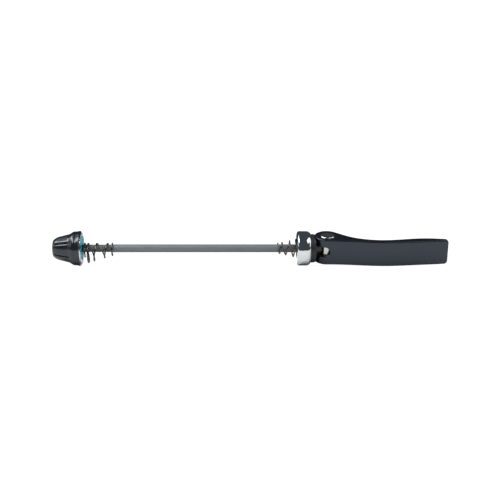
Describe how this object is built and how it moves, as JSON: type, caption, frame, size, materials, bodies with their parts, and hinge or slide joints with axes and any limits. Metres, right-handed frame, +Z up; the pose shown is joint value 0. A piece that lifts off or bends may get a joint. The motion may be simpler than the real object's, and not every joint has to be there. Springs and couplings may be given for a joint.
{
  "type": "quick release skewer",
  "caption": "Quick release skewer of a bicycle wheel: steel rod with a cam lever and cup at one end, an adjusting nut at the other and conical springs.",
  "frame": {"origin": "on the rod's axis, at the cup's clamping face", "axes": "+X along the rod from the nut to the lever, +Z up as the skewer lies on its nut and lever"},
  "size_m": [0.2455, 0.0231, 0.022],
  "materials": {
    "dark_steel": "grey steel with a rolled thread",
    "plated_steel": "bright zinc plate",
    "lever_black": "satin black",
    "seat_plastic": "moulded black",
    "cup_chrome": "polished chrome plate",
    "spring_steel": "dark spring wire",
    "nut_black": "satin black",
    "lock_nylon": "blue-green nylon"
  },
  "bodies": {
    "skewer": {"skewer_rod": "dark_steel", "trunnion_pin": "plated_steel"},
    "lever": {"cam_lever": "lever_black"},
    "cup": {"clamp_cup": "cup_chrome", "cam_seat": "seat_plastic", "lever_side_spring": "spring_steel"},
    "nut_carriage": {"nut_side_spring": "spring_steel"},
    "nut": {"nut_shell": "nut_black", "nut_core": "plated_steel", "lock_ring": "lock_nylon"}
  },
  "joints": [
    {"name": "lever_swing", "type": "hinge", "parent": "skewer", "child": "lever", "pos_m": [0.0189, 0, 0], "axis": [0, -0.3785, 0.9256], "range_deg": [-75, 90]},
    {"name": "cup_slide", "type": "slide", "parent": "skewer", "child": "cup", "axis": [1, 0, 0], "range_m": [-0.00085, 0.00075]},
    {"name": "nut_travel", "type": "slide", "parent": "skewer", "child": "nut_carriage", "axis": [1, 0, 0], "range_m": [-0.0065, 0.0161]},
    {"name": "nut_turn", "type": "hinge", "parent": "nut_carriage", "child": "nut", "pos_m": [-0.1338, 0, 0], "axis": [1, 0, 0], "range_deg": [-2880, 7200]}
  ],
  "couplings": [
    {"joint": "cup_slide", "follows": "lever_swing", "m_per_rad": -0.0005093},
    {"joint": "nut_travel", "follows": "nut_turn", "m_per_rad": 0.00012732}
  ]
}
